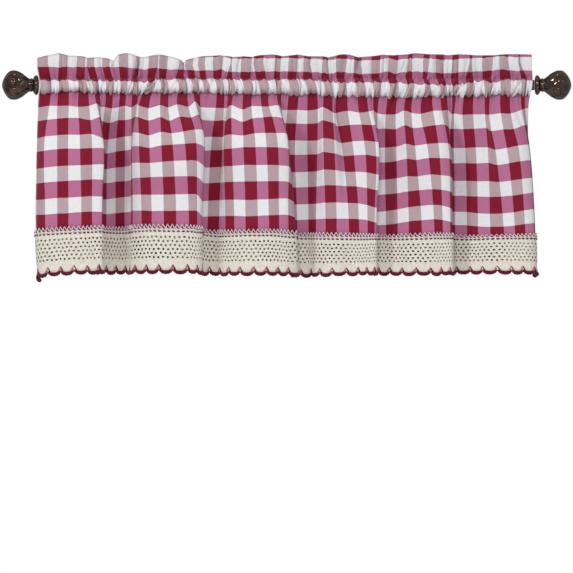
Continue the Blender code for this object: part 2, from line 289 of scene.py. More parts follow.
# Two more stripes are tucked in above the stitches, beside the third panel
TUCKED_STRIPES, TUCK_START, TUCK_WIDTH = 2.0, 22.0, 0.9

# The folds: where each stripe stands across the heading, the pocket, just under it, half way and
# above the trim, and how far forward it hangs half way and above the trim
FOLDS = np.array([
    # stripe, head_x, pocket_x, top_x, mid_x, low_x, mid_y, low_y
    (0, -385.8, -382, -384, -386, -389, 4, 2),
    (1, -385.8, -381.2, -383, -386, -387, -16, -17),
    (2, -369.7, -364, -366, -375, -374, -32, -31),
    (3, -352.6, -352.2, -354.8, -355.3, -355, -36, -36),
    (4, -339.5, -337.1, -337.4, -338.1, -337.7, -39, -40),
    (5, -324.7, -322, -323, -320, -318, -41, -42),
    (6, -311.6, -308.3, -306.7, -301.5, -301.2, -40, -41),
    (7, -309.2, -300, -297, -284, -286, -35, -38),
    (8.6, -290.2, -284, -284.5, -292, -294, -9, -10),
    (9.8, -276.5, -270, -272, -280, -282, 6, 6),
    (11.3, -256, -254, -256, -261, -261.5, 19, 16),
    (12.8, -235.8, -239, -242, -241, -242, 8, 9),
    (13.9, -227.8, -231, -231, -239, -239, -14, -10),
    (15, -213.7, -214, -226, -228.5, -225, -34, -29),
    (16, -199.3, -202.4, -211.3, -212.4, -209.3, -41, -37),
    (17, -197.5, -194.2, -195.8, -194.1, -190.5, -47.5, -44),
    (18, -183.7, -182.3, -183.7, -177.2, -171.7, -50, -47),
    (19, -166.2, -165.9, -169.9, -158.6, -152.4, -48.5, -45.5),
    (20, -159.2, -153, -153.5, -141, -139, -45, -42),
    (21, -155.8, -145, -144, -128.5, -131.5, -36, -34),
    (22.2, -139.6, -131, -131, -129, -132, -13, -12),
    (23, -113.8, -108, -109, -117, -122, -4, -3),
    (24, -98, -96, -97, -99, -104, -2, -2),
    (25, -86.2, -88, -91, -97, -95, -21, -18),
    (26, -84.2, -78.6, -84, -84.8, -81.5, -30, -28),
    (27, -69.9, -66, -68, -67, -64, -38, -35),
    (28, -54.1, -50.4, -54.7, -48.8, -45, -41.5, -39),
    (29, -50.7, -41.5, -40, -32, -28, -43, -41),
    (30, -35.5, -26.7, -28.7, -14.7, -12.2, -41, -40),
    (31.1, -16.7, -15, -14, 2, 3.4, -34, -36),
    (31.8, -10.4, -8.6, -9.8, 0.5, 11.6, -23, -27),
    (32.4, -4.9, -3, -6, -5, 5, -12, -14),
    (33.6, 12.7, 15, 12, 6, 10, 5, 3),
    (35, 27.1, 32, 32, 32, 33.5, 10, 9),
    (36, 37.7, 47, 48, 48, 46, 4, 4),
    (37, 56.3, 59.5, 57, 57, 60, -12, -8),
    (38, 64.3, 71, 71, 74, 77, -17, -13),
    (39, 77.3, 82, 76, 86, 95, -4, -10),
    (40, 93.6, 94, 94, 103, 111, -5, -11),
    (41.5, 110.1, 116, 118, 130, 131, -17, -20),
    (42.4, 121.9, 128, 130, 142.5, 139, -16, -18),
    (43.5, 139.3, 141, 137, 138, 135, 4, 2),
    (44.7, 154, 157, 151, 148, 149, 13, 12),
    (46, 173.4, 175, 170, 170.5, 172, 8, 8),
    (47, 188.3, 189, 183, 186, 189, -4, -2),
    (48, 195, 199, 194, 200, 208, -17, -10),
    (49, 212.4, 216.1, 208.2, 219, 227.4, -23, -18),
    (50, 222.1, 224, 225.5, 236, 241, -27, -25),
    (51.4, 235.8, 243, 243, 254.5, 255.5, -19, -22),
    (52.9, 255.7, 256, 256, 250, 251, 3, 0),
    (54.1, 267.9, 268, 262, 260.5, 262, 12, 11),
    (55, 283.7, 279.6, 273.3, 277.6, 279.5, 8, 7.5),
    (56, 288, 292, 289, 294, 296.5, 1, 2),
    (57, 303.2, 307, 307, 312.5, 315, -4, -5),
    (58, 320.1, 319, 314, 325, 335, -17, -12),
    (59, 329.8, 331.7, 330.9, 342.7, 352.3, -20, -19),
    (60, 343.6, 348, 346, 360, 368, -22, -24),
    (61, 359.1, 364, 363, 375.5, 382, -13, -18),
    (62, 361.2, 372, 369, 376.5, 383, 3, -2),
    (63, 379.9, 381, 376, 374, 379, 16, 11),
])

# How far below the rod's axis the check rows hang at each stripe, with the trim's top and the tips
LEVELS = np.array([
    # stripe, row_0, row_1, row_2, row_3, row_4, row_6, row_8, trim, tip
    (0, 13, 33, 56, 80.9, 103.9, 152.7, 201.3, 223.5, 310),
    (1, 12.9, 33.4, 56.3, 80.9, 103.9, 152.7, 201.3, 223, 301),
    (2, 11.9, 30.9, 53.9, 78.4, 102.1, 151.4, 200.7, 222, 298.7),
    (3, 11.1, 31.3, 52.5, 76.5, 99.6, 149.5, 199.3, 220.9, 296.4),
    (4, 10.8, 30.9, 51.1, 75.5, 98.7, 148.6, 198.5, 219.9, 295.1),
    (5, 10.8, 32.9, 51.5, 75.8, 98.9, 147.6, 197.1, 219, 294.5),
    (6, 11.1, 30.8, 54.4, 75, 98.1, 146.4, 196.4, 218.1, 293.9),
    (7, 11.3, 27.8, 49.6, 81.4, 98, 147.1, 196.8, 217.7, 293.6),
    (8, 11.4, 32.7, 49.9, 81.4, 105.1, 148.2, 197.1, 218.2, 293.8),
    (9, 11.6, 32.6, 56.3, 82.4, 105.5, 151.6, 198.6, 218.8, 294),
    (10, 11.7, 34.4, 58.2, 82.6, 105.6, 151.7, 199.9, 219.3, 294.2),
    (11, 11.8, 32.6, 54.1, 80.3, 103, 149.9, 198.6, 219.8, 294.4),
    (12, 12.3, 30.6, 53.7, 77.9, 101.1, 148.7, 197.3, 219.4, 294.4),
    (13, 13.4, 33.1, 52, 76.5, 98.5, 146.6, 196.1, 218.4, 294.1),
    (14, 14.2, 27.9, 48.9, 72.4, 95.1, 144.5, 194.5, 217.5, 293.9),
    (15, 12.7, 30.9, 49.9, 73, 94.6, 143.8, 194.5, 216.5, 293.6),
    (16, 11.9, 34.7, 55.1, 76.9, 97.4, 142.8, 195, 216.1, 293.5),
    (17, 11.9, 30.4, 50.3, 71.6, 93.8, 142.3, 195.1, 216.4, 293.5),
    (18, 14.1, 33.6, 55.7, 73.8, 92.5, 141.8, 195, 216.6, 293.5),
    (19, 12, 29.4, 49.5, 71.2, 91.3, 141.5, 194.7, 216.9, 293.5),
    (20, 11.9, 32.4, 50.7, 68, 90.6, 142.4, 195.3, 218.2, 293.9),
    (21, 11.9, 24.9, 46.6, 68.4, 96.5, 151.1, 203.2, 220.1, 294.7),
    (22, 11.9, 32.3, 53.1, 78, 101.1, 151.8, 203.7, 222.1, 295.4),
    (23, 11.8, 33.8, 55, 78.5, 100.9, 151.9, 203.6, 224, 296.1),
    (24, 12.4, 34, 54.4, 79, 100.3, 151.3, 203, 224.9, 296.5),
    (25, 13, 34.3, 55.9, 77, 99.3, 150.4, 202.8, 224.6, 296.4),
    (26, 13.7, 30.3, 51.2, 75.2, 98.4, 150, 202.9, 224.4, 296.3),
    (27, 14.6, 36.6, 57.1, 77.1, 96.6, 149.7, 203.3, 224.1, 296.2),
    (28, 14.6, 31.6, 52.1, 73.6, 96.4, 149.3, 202.9, 223.9, 296.1),
    (29, 14, 32.4, 50.4, 73.3, 96.4, 149.2, 202.2, 223.6, 296),
    (30, 13.4, 32.3, 49.3, 73, 96.8, 149.1, 201.3, 224.1, 296.3),
    (31, 13.1, 30.4, 51.5, 74.3, 99.4, 150.3, 201.5, 225.4, 297),
    (32, 13, 36.1, 57.5, 84, 107.1, 157.8, 206.8, 226.7, 297.7),
    (33, 14.4, 37, 58.9, 84, 107.4, 158.2, 208.2, 228, 298.4),
    (34, 15.1, 36.8, 59.3, 84, 107.8, 158.5, 208.8, 229, 298.9),
    (35, 13.8, 37.7, 60.1, 84.3, 107.6, 158, 208.2, 229, 298.4),
    (36, 14.5, 35.5, 58.4, 83.9, 106.7, 157.2, 207.9, 229, 297.8),
    (37, 15.9, 32.9, 54.9, 80.6, 103.8, 155.4, 206.9, 229, 297.3),
    (38, 17.3, 41, 58.8, 83.4, 105.9, 155.4, 206.9, 229.2, 296.7),
    (39, 17.5, 41.6, 63.6, 88.2, 109.6, 156.9, 207.1, 229.6, 296.2),
    (40, 17.3, 38.4, 61.4, 85.7, 108.8, 157.3, 208, 230, 295.6),
    (41, 17, 41.2, 61.2, 85, 108.1, 159.6, 209.8, 230.4, 295.1),
    (42, 16.7, 39.7, 62.2, 86, 110.7, 162.6, 212.9, 230.8, 295.2),
    (43, 17.3, 37.1, 61.4, 88.1, 113, 163.5, 213, 231.1, 295.4),
    (44, 18.1, 42.2, 67.3, 94.6, 119.2, 170, 216.9, 231.5, 295.7),
    (45, 17.8, 43.8, 67.1, 94.7, 119.5, 169.4, 216.5, 231.8, 295.9),
    (46, 17.5, 43.3, 67.7, 93.5, 117.7, 167.4, 214.1, 231.5, 296),
    (47, 18.8, 38.1, 62.4, 89.7, 114.1, 164.7, 211.4, 230.6, 296),
    (48, 19.5, 41.3, 66.4, 92.1, 116, 163, 209.4, 229.7, 296),
    (49, 18.2, 42.9, 65.3, 89.8, 113.1, 161.3, 208.1, 228.8, 296),
    (50, 18, 38.9, 62.2, 88.3, 113.2, 162.5, 209.1, 229, 295.7),
    (51, 17, 38.4, 61.6, 88.9, 114.2, 165.2, 212.2, 229.7, 295.3),
    (52, 15.6, 37, 67, 95.3, 120.6, 170.4, 215.6, 230.4, 294.9),
    (53, 15.3, 43.4, 67.8, 95.6, 121.1, 170.8, 216, 231.1, 294.5),
    (54, 16.4, 42.2, 67.6, 95.7, 121.2, 171.4, 216.6, 231.9, 294.1),
    (55, 16.9, 44.1, 67.7, 95.6, 121, 171.7, 217.3, 232.6, 293.7),
    (56, 16.5, 43.6, 67.6, 94.8, 121.3, 172.6, 219.1, 232.8, 293.5),
    (57, 16.2, 43.6, 66.8, 94.6, 120.6, 173.1, 219.6, 232.3, 293.6),
    (58, 15.9, 44.2, 71.3, 98.2, 123.7, 172.7, 219.3, 231.8, 293.7),
    (59, 15.6, 42.2, 68.9, 95.7, 121, 171.3, 217.8, 231.3, 293.8),
    (60, 15.2, 42.2, 68.2, 92.1, 118.1, 168.9, 215.5, 230.8, 293.9),
    (61, 14.9, 36.6, 62, 90.2, 116.7, 166.7, 213.8, 230.5, 294.8),
    (62, 14.7, 34.5, 62, 90.2, 116.7, 166.7, 213.8, 230.5, 297.4),
    (63, 14.6, 33.5, 61.8, 90.2, 116.7, 166.7, 213.8, 230.5, 300),
])
LEVEL_ROWS = (0.0, 1.0, 2.0, 3.0, 4.0, 6.0, 8.0, TRIM_ROW, TIP_ROW)

# Above the pocket's lower stitches: where the check's rows change, and the heading's uneven top
POCKET_CHECK = np.array([
    # stripe, z where the pocket's light row ends
    (0, 9.1), (8.2, 7.2), (11, 7.7), (15.2, 5.2), (16.5, 9.7), (22.1, 10.7), (28.7, 8.7), (34.1, 10.3),
    (39.1, 5.2), (43.8, 6.0), (48.5, 2.8), (53.3, 0.2), (55.4, 5.2), (57.2, 8.2), (58.2, 3.7),
    (59.1, 9.1), (61.0, 9.4), (63, 8.2),
])
HEADING_CHECK = np.array([
    # stripe, z where the heading's dark row ends
    (0, 27.9), (11.2, 27.9), (12.7, 26.5), (14.7, 24.2), (15.8, 27.3), (18.2, 24.0), (19.6, 24.0),
    (22.3, 22.6), (23.1, 22.0), (23.9, 24.0), (24.9, 19.8), (26.6, 19.8), (30.2, 20.6), (33.1, 20.6),
    (36.3, 19.5), (38.2, 17.5), (39.4, 20.3), (42.1, 16.7), (43.7, 18.3), (45, 20.8), (45.8, 18.0),
    (47.5, 21.0), (50, 20.2), (52.1, 18.0), (53.7, 19.2), (56.8, 21.0), (59.1, 24.0), (60.6, 22.0),
    (63, 22.6),
])
HEADING_TOP = np.array([
    # stripe, top_z
    (0, 41.0), (1, 41.5), (1.6, 44.5), (2.9, 49.0), (3.5, 47.5), (4.1, 45.5), (5.6, 44.3), (6.6, 41.5),
    (8.5, 42.8), (9.7, 41.2), (10.4, 37.0), (10.9, 47.0), (11.6, 49.0), (12.2, 48.5), (12.8, 45.9),
    (13.5, 44.3), (14.4, 42.8), (15.5, 45.9), (16.6, 47.4), (17.6, 46.0), (18.4, 43.0), (19.0, 39.5),
    (19.8, 34.5), (20.7, 37.5), (21.9, 41.2), (22.5, 44.3), (23.5, 45.9), (24.6, 44.3), (26.1, 42.8),
    (27.2, 44.3), (28.5, 42.5), (29.6, 45.9), (30.8, 47.2), (32.4, 44.3), (33.9, 47.0), (35.6, 44.3),
    (37, 44.3), (38, 42.6), (38.7, 44.5), (39.5, 47.4), (40.2, 47.0), (41.6, 42.8), (43, 44.3), (44.2, 46.8),
    (45.5, 45.9), (47, 47.4), (48.3, 49.0), (49.7, 47.4), (51.8, 47.2), (52.4, 45.9), (54, 47.4),
    (56.6, 45.7), (58, 45.9), (60, 47.6), (62.5, 47.4), (63, 46.8),
])
# How far the stitches above the rod pull each stripe sideways
NECK_SHIFT = np.array([
    # stripe, shift_x
    (0, 0), (3, -2.4), (5, -4.8), (7, -4.8), (8.5, -1.8), (10, -2.4), (12, 0), (14, -1.8), (16, -2.4),
    (18, -4.8), (19.5, -7), (21.5, -6), (25, -5.4), (29, -6), (31, -4.2), (33, -4.8), (36, -7),
    (38, -5.4), (41, -5.4), (44, -3.6), (46, -6), (48, -4.2), (50, -7), (52, -4.8), (54, -1.2),
    (56, -3.6), (59, -1.2), (63, 0),
])
# The check's rows seen upright in the heading and along the back
HEADING_ROW_FLAT, BACK_ROW_FLAT = 0.0225, 0.0250

# The gathers that the stitches force into the cloth, fading down the skirt
GATHERS = (
    # cycles a stripe, depth in mm, wander, phase, fade in rows
    (0.47, 1.9, 1.3, 0.4, 1.9),
    (0.93, 1.5, 1.0, 1.9, 0.75),
    (1.67, 1.0, 0.8, 4.0, 0.35),
)
GATHER_PACE, GATHER_DRIFT, GATHER_DRIFT_PACE = 0.61, 0.12, 1.3
# The gathers also pull the check rows down, most of all next to the stitches
SAG_SHARE, SAG_ROWS = 0.5, 0.6
# The pocket's fine puckers, which lean one way or the other by a slow wave along the cloth
PUCKERS = (
    # cycles a stripe, depth in mm, wander, phase, lean in turns over the pocket
    (0.62, 1.4, 1.6, 4.1, 0.8),
    (1.05, 2.8, 1.6, 0.7, 1.3),
    (1.83, 1.9, 1.2, 2.9, 2.2),
)
PUCKER_PACE = 0.53
LEAN_MEAN, LEAN_SWING, LEAN_PACE, LEAN_PHASE = -0.4, -0.9, 0.19, -1.28
# How much of a pucker's height is left half way up the pocket, and how fast it rises at the stitches
PUCKER_MIDDLE, PUCKER_RISE = 0.6, 6.0
# The pocket's sharpest creases, laid in from its lower stitches to its upper ones
POCKET_CREASES = (
    # stripe at the foot, stripe at the top
    (2.0, 1.9), (5.4, 5.5), (6.3, 6.5), (7.9, 7.7), (9.9, 10.1), (12.2, 12.9), (13.0, 13.4),
    (13.9, 14.1), (14.3, 16.0), (14.9, 16.6), (17.3, 17.6), (19.8, 20.1), (21.7, 22.1), (24.9, 25.1),
    (28.3, 28.7), (31.0, 31.3), (34.1, 34.4), (36.4, 36.7), (38.0, 38.3), (39.6, 40.0), (43.6, 44.2),
    (45.4, 45.9), (46.7, 47.3), (49.0, 50.3), (51.0, 52.2), (52.4, 54.3), (53.4, 55.1), (55.4, 56.0),
    (57.7, 58.4), (60.0, 61.1), (61.6, 62.0),
)
POCKET_CREASE_HALF_WIDTH = 0.0026
# The sharp points that the gathers draw: in the lower stitches, fading down the skirt, then with the
# same columns in the upper stitches and where the check's row changes in the pocket and the heading
JAGS = (
    # cycles a stripe, height in mm, wander, wander's pace, phase
    (0.37, 1.0, 0.7, 0.3, 2.0),
    (0.86, 1.8, 0.8, 0.8, 0.0),
    (1.42, -2.2, 0.7, 0.5, 1.0),
)
JAG_FADE = 0.22
UPPER_JAGS = ((0.8, 0.9, 0.6, 0.7, 0.0),)
POCKET_CHECK_JAGS = ((0.95, -1.7, 0.8, 0.45, 1.0), (1.63, -0.9, 0.6, 0.7, 0.0))
HEADING_CHECK_JAGS = ((0.8, 0.7, 0.7, 0.6, 2.0),)
# The heading's ruffles
RUFFLES = (
    # cycles a stripe, depth in mm at the foot and the top, wander, phase
    (0.19, 1.0, 3.4, 2.2, 0.9),
    (0.43, 1.4, 2.6, 1.6, 2.4),
    (1.07, 1.8, 1.0, 1.1, 5.1),
)
RUFFLE_PACE = 0.57

# Creases laid in one by one, each a soft trough along a line from a top place to a bottom one. Rows
# above the lower stitches are negative, and the heading stands from row -1 to row -3.
CREASES = (
    # stripe and row at the top, stripe and row at the foot, half width and depth in mm
    (13.5, -3.0, 14.0, -1.0, 1.5, 11.0),
    (25.3, -3.0, 25.0, -1.7, 1.5, 6.0),
    (26.8, -3.0, 26.6, -1.2, 1.5, 3.5),
    (46.6, -2.2, 46.3, -1.0, 1.6, 4.0),
    (10.4, -3.0, 10.5, -1.6, 4.0, 5.0),
    (19.8, -3.0, 20.6, -1.3, 4.0, 6.0),
    (6.6, -2.8, 6.8, -1.2, 2.6, 5.0),
    (28.4, -2.8, 28.3, -1.6, 2.6, 3.5),
    (37.9, -2.8, 38.1, -1.4, 3.0, 4.0),
    (41.6, -2.8, 41.2, -1.4, 3.0, 3.5),
    (52.2, -2.8, 51.8, -1.2, 2.6, 4.0),
    (15.6, 0.15, 14.2, 1.1, 2.0, 2.0),
    (18.4, 0.0, 17.6, 1.3, 2.2, 1.8),
    (28.2, 0.0, 28.0, 1.6, 2.4, 1.8),
    (45.7, 0.1, 44.6, 1.8, 2.4, 2.0),
    (48.2, 0.0, 49.0, 2.0, 2.6, 2.0),
    (60.2, 0.0, 60.8, 2.2, 2.6, 2.0),
    (3.1, 0.0, 3.4, 1.4, 2.4, 1.6),
)
CREASE_FADE = 0.35

# How dark the painted shade in the cloth's colour comes out: in the pocket's puckers and creases, with
# what the stitches add, in the heading and its ruffles, and in the skirt's top and its gathers
PUCKER_PAINTED_SHADE, PUCKER_STITCH_PAINTED_SHADE, PUCKER_SHARPNESS = 0.15, 0.45, 0.25
CREASE_PAINTED_SHADE, CREASE_STITCH_PAINTED_SHADE, CREASE_SHARPNESS = 0.55, 0.45, 1.5
HEADING_SHADE, HEADING_FOOT_SHADE, DEEPEST_TROUGH = 0.10, 0.08, 0.009
RUFFLE_PAINTED_SHADE, RUFFLE_SHARPNESS = 0.6, 0.2
SKIRT_SHADE, SKIRT_SHADE_ROWS = 0.12, 0.9
GATHER_PAINTED_SHADE, GATHER_SHARPNESS, GATHER_PAINTED_SHADE_ROWS = 0.8, 0.22, 0.35


def smooth(t, width, start, end, start_slope, end_slope):
    """A smooth curve between two values and their slopes, t of the way across the width."""
    return (start * (1 + 2 * t) * (1 - t) ** 2 + start_slope * width * t * (1 - t) ** 2
            + end * t * t * (3 - 2 * t) - end_slope * width * t * t * (1 - t))


def along(table, column, stripe):
    """A column of a table read along the cloth as a smooth curve, in metres."""
    knots, values = table[:, 0], table[:, column] * MM
    slopes = np.gradient(values, knots)
    i = np.clip(np.searchsorted(knots, stripe, side="right") - 1, 0, len(knots) - 2)
    width = knots[i + 1] - knots[i]
    return smooth((stripe - knots[i]) / width, width, values[i], values[i + 1], slopes[i], slopes[i + 1])


def down(rows, values, row):
    """A smooth curve down the cloth through the values that each point has at some rows."""
    rows, values = np.asarray(rows, float), np.stack(values)
    slopes = np.gradient(values, rows, axis=0)
    i = np.clip(np.searchsorted(rows, row, side="right") - 1, 0, len(rows) - 2)
    width = rows[i + 1] - rows[i]
    picked = (np.take_along_axis(table, at[None], axis=0)[0]
              for table, at in ((values, i), (values, i + 1), (slopes, i), (slopes, i + 1)))
    return smooth((row - rows[i]) / width, width, *picked)


def ridge(turn):
    """Rounded ridges with sharp valleys between, one a turn, level on average."""
    return np.abs(np.sin(math.pi * turn)) * math.pi / 2 - 1.0


def valley(turn, sharpness):
    """1 along the bottom of each valley between ridges, falling to 0 on both sides."""
    return np.exp(-(np.sin(math.pi * turn) / sharpness) ** 2)


def wandering(stripe, cycles, wander, phase, pace):
    """How many folds of one kind stand to the left of each stripe, in uneven steps."""
    return cycles * stripe + wander * np.sin(pace * cycles * stripe + phase) / 2


def gather_turn(stripe, row, cycles, wander, phase):
    """How many gathers of one kind stand to the left, drifting sideways on the way down."""
    return (wandering(stripe, cycles, wander, phase, GATHER_PACE)
            + GATHER_DRIFT * row * np.sin(GATHER_DRIFT_PACE * stripe + phase))


def end_calm(stripe):
    """How much of the gathering is left at each stripe."""
    return np.clip(np.minimum(stripe, STRIPES - stripe) / END_CALM_STRIPES, END_CALM, 1.0)


def fading(row, rows):
    """1 down to the lower stitches, dying away below them over some rows."""
    return np.exp(-np.maximum(row, 0.0) / rows)


def gathers(stripe, row):
    """How far the gathers push the cloth forward below the pocket."""
    total = np.zeros(np.shape(stripe))
    for cycles, depth, wander, phase, fade in GATHERS:
        turn = gather_turn(stripe, row, cycles, wander, phase)
        total = total + depth * MM * ridge(turn) * fading(row, fade)
    return total * end_calm(stripe)


def jags(table, stripe):
    """How far the sharp points of a table reach at each stripe."""
    total = np.zeros(np.shape(stripe))
    for cycles, height, wander, pace, phase in table:
        total = total + height * MM * ridge(cycles * stripe + wander * np.sin(pace * stripe + phase))
    return total


def troughs(stripe, row):
    """How far the listed creases push the cloth back."""
    total = np.zeros(np.shape(stripe))
    for top_stripe, top_row, foot_stripe, foot_row, half_width, depth in CREASES:
        share = np.clip((row - top_row) / (foot_row - top_row), 0.0, 1.0)
        past = np.maximum(top_row - row, 0.0) + np.maximum(row - foot_row, 0.0)
        line = top_stripe + share * (foot_stripe - top_stripe)
        away = (stripe - line) * STRIPE_FLAT / (half_width * MM)
        total = total + depth * MM * np.exp(-away ** 2 - (past / CREASE_FADE) ** 2)
    return total


def hang(stripe, row):
    """Points of the skirt and the trim, row check rows below the pocket's lower stitches."""
    stripe, row = np.broadcast_arrays(np.asarray(stripe, float), np.asarray(row, float))
    pocket_x, top_x, mid_x, low_x, mid_y, low_y = (along(FOLDS, c, stripe) for c in range(2, 8))
    foot_x = pocket_x + FOOT_X_SHARE * (top_x - pocket_x)
    hem_x = low_x + HEM_X_SHARE * (low_x - mid_x)
    top_y = STITCH_Y + TOP_SHARE * np.minimum(mid_y - STITCH_Y, 0.0)
    hem_y = low_y + np.interp(stripe, (0, STRIPES), HEM_KICK) * MM
    levels = (0.0, TOP_LEVEL, MID_LEVEL, LOW_LEVEL, TIP_ROW)
    x = down(levels, (foot_x, top_x, mid_x, low_x, hem_x), row)
    y = down(levels, (np.full(stripe.shape, STITCH_Y), top_y, mid_y, low_y, hem_y), row)
    z = -down(LEVEL_ROWS, [along(LEVELS, c, stripe) for c in range(1, 10)], row)
    lowered = np.clip((row - LOW_LEVEL) / (TIP_ROW - LOW_LEVEL), 0.0, 1.0)
    x = x + END_CURL * np.exp(-stripe / END_CURL_STRIPES) * lowered ** 2
    push = gathers(stripe, row)
    z = z - SAG_SHARE * push * fading(row, SAG_ROWS) + jags(JAGS, stripe) * fading(row, JAG_FADE)
    return np.stack((x, y - push + troughs(stripe, row), z), axis=-1)


def unit(vectors):
    """Vectors brought to length one."""
    return vectors / np.linalg.norm(vectors, axis=-1, keepdims=True)


def off_cloth(stripe, row, offset):
    """Points lifted off the skirt's surface towards its front, and the way they were lifted."""
    stripe, row = np.broadcast_arrays(np.asarray(stripe, float), np.asarray(row, float))
    step = 0.05
    across = hang(stripe + step, row) - hang(stripe - step, row)
    below = hang(stripe, row + step) - hang(stripe, row - step)
    normal = unit(np.cross(below, across))
    return hang(stripe, row) + np.asarray(offset, float)[..., None] * normal, normal


COLUMNS = 870
SKIRT_STEPS, POCKET_STEPS, HEADING_STEPS, BACK_STEPS = 25, 9, 9, 6
SKIRT_STEP_GROWTH = 1.4
stripe_line = np.linspace(0.0, STRIPES, COLUMNS)
skirt_rows = HEM_ROW * np.linspace(1.0, 0.0, SKIRT_STEPS) ** SKIRT_STEP_GROWTH
skirt_places = np.broadcast_arrays(stripe_line[:, None], skirt_rows)
calm = end_calm(stripe_line)
lean = LEAN_MEAN + LEAN_SWING * np.sin(LEAN_PACE * stripe_line + LEAN_PHASE)
head_x, pocket_x = along(FOLDS, 1, stripe_line), along(FOLDS, 2, stripe_line)
neck_shift = along(NECK_SHIFT, 1, stripe_line)
seam_x, seam_y, lower_z = hang(stripe_line, 0.0).T
upper_z = UPPER_STITCH_Z + jags(UPPER_JAGS, stripe_line) * calm
pocket_check, heading_check, heading_top = (
    np.interp(stripe_line, *table.T) * MM for table in (POCKET_CHECK, HEADING_CHECK, HEADING_TOP))
pocket_check = pocket_check + jags(POCKET_CHECK_JAGS, stripe_line) * calm
heading_check = heading_check + jags(HEADING_CHECK_JAGS, stripe_line) * calm


def ruffles(t):
    """How far the ruffles push the heading forward, t of the way up from the pocket to its top fold."""
    total = np.zeros(COLUMNS)
    for cycles, foot_depth, top_depth, wander, phase in RUFFLES:
        turn = wandering(stripe_line, cycles, wander, phase, RUFFLE_PACE)
        total = total + (foot_depth + (top_depth - foot_depth) * t) * MM * ridge(turn) * calm
    return total


def pucker_turn(t, cycles, wander, phase, tilt):
    """How many puckers of one kind stand to the left of each stripe, t of the way up the pocket."""
    return wandering(stripe_line, cycles, wander, phase, PUCKER_PACE) + lean * tilt * t


def crease_away(t, foot_stripe, top_stripe):
    """How many half widths each stripe is from a pocket crease, t of the way up."""
    line = foot_stripe + t * (top_stripe - foot_stripe)
    return (stripe_line - line) * STRIPE_FLAT / POCKET_CREASE_HALF_WIDTH


def pocket_painted_shade(t):
    """Painted shade on the pocket's front, in its puckers and creases, t of the way up, from 0 to 1."""
    near_stitches = abs(2 * t - 1)
    total = np.zeros(COLUMNS)
    for cycles, depth, wander, phase, tilt in PUCKERS[1:]:
        turn = pucker_turn(t, cycles, wander, phase, tilt)
        painted_shade = PUCKER_PAINTED_SHADE + PUCKER_STITCH_PAINTED_SHADE * near_stitches
        total = np.maximum(total, valley(turn, PUCKER_SHARPNESS) * painted_shade)
    for crease in POCKET_CREASES:
        painted_shade = CREASE_PAINTED_SHADE + CREASE_STITCH_PAINTED_SHADE * near_stitches
        total = np.maximum(total, np.exp(-(CREASE_SHARPNESS * crease_away(t, *crease)) ** 2) * painted_shade)
    return total


def heading_troughs(t):
    """How far the listed creases push the heading back, t of the way up."""
    return troughs(stripe_line, -1.0 - 2.0 * t)


def heading_painted_shade(t):
    """Painted shade on the heading, in its creases, its ruffles and all over, t of the way up, from 0 to 1.
    """
    total = np.clip(heading_troughs(t) / DEEPEST_TROUGH, 0.0, 1.0) ** 2
    total = np.maximum(total, HEADING_SHADE + HEADING_FOOT_SHADE * (1.0 - t))
    for cycles, foot_depth, top_depth, wander, phase in RUFFLES[1:]:
        turn = wandering(stripe_line, cycles, wander, phase, RUFFLE_PACE)
        total = np.maximum(total, RUFFLE_PAINTED_SHADE * valley(turn, RUFFLE_SHARPNESS) * (1.0 - t) ** 3)
    return total


def pocket_layer(side, t):
    """Points of the pocket's front (side -1) or back (side 1), t of the way up its height."""
    bulge = math.sin(math.pi * t) ** POCKET_ROUNDNESS if 0.0 < t < 1.0 else 0.0
    half = SEAM_GAP / 2 + (POCKET_REACH - SEAM_GAP / 2) * bulge
    puff = np.zeros(COLUMNS)
    for cycles, depth, wander, phase, tilt in PUCKERS:
        turn = pucker_turn(t, cycles, wander, phase, tilt)
        puff = puff + depth * MM * np.abs(np.sin(math.pi * turn)) ** 0.5
    for crease in POCKET_CREASES:
        puff = puff * (1.0 - np.exp(-crease_away(t, *crease) ** 2))
    puff = puff * calm * (PUCKER_MIDDLE + (1.0 - PUCKER_MIDDLE) * abs(2 * t - 1))
    puff = puff * min(1.0, PUCKER_RISE * t, PUCKER_RISE * (1.0 - t))
    x = pocket_x + (seam_x - pocket_x) * (1.0 - t) ** 3 + neck_shift * t ** 3
    y = side * (half + puff) + (seam_y + SEAM_GAP / 2) * (1.0 - t) ** 2 - ruffles(0.0) * t ** 3
    return np.stack((x, y, lower_z + t * (upper_z - lower_z)), axis=-1)


def heading_layer(side, t):
    """Points of the heading's front or back, t of the way up from the pocket to its top fold."""
    half = 0.0
    if t < 1.0:
        half = SEAM_GAP / 2 * (1 - t) + (HEADING_BULGE - SEAM_GAP / 2) * math.sin(math.pi * t) ** 0.5
    spread = min(1.0, HEADING_SPREAD * t)
    x = pocket_x + (head_x - pocket_x) * spread + neck_shift * (1.0 - t) ** NECK_FADE
    y = side * half - ruffles(t) + heading_troughs(t) * min(1.0, HEADING_CREASE_RISE * t)
    return np.stack((x, y, upper_z + t * (heading_top - upper_z)), axis=-1)


def front_check(z):
    """The check's row at a height on the front above the lower stitches."""
    first = -(z - lower_z) / (pocket_check - lower_z)
    second = -1.0 - (z - pocket_check) / (heading_check - pocket_check)
    third = -2.0 - (z - heading_check) / HEADING_ROW_FLAT
    return np.where(z < pocket_check, first, np.where(z < heading_check, second, third))


pocket_heights = (1.0 - np.cos(np.linspace(0.0, math.pi, POCKET_STEPS + 1)[1:])) / 2
heading_heights = np.linspace(0.0, 1.0, HEADING_STEPS + 1)[1:]
back_heights = np.linspace(1.0, 0.0, BACK_STEPS + 1)[1:]
front = [pocket_layer(-1, t) for t in pocket_heights] + [heading_layer(-1, t) for t in heading_heights]
back = [heading_layer(1, t) for t in back_heights] + [pocket_layer(1, t) for t in back_heights]
back.append(hang(stripe_line, TURNED_END_ROW) + np.array((0.0, TURNED_END_GAP, 0.0)))
cloth_points = np.concatenate((hang(*skirt_places), np.stack(front + back, axis=1)), axis=1)

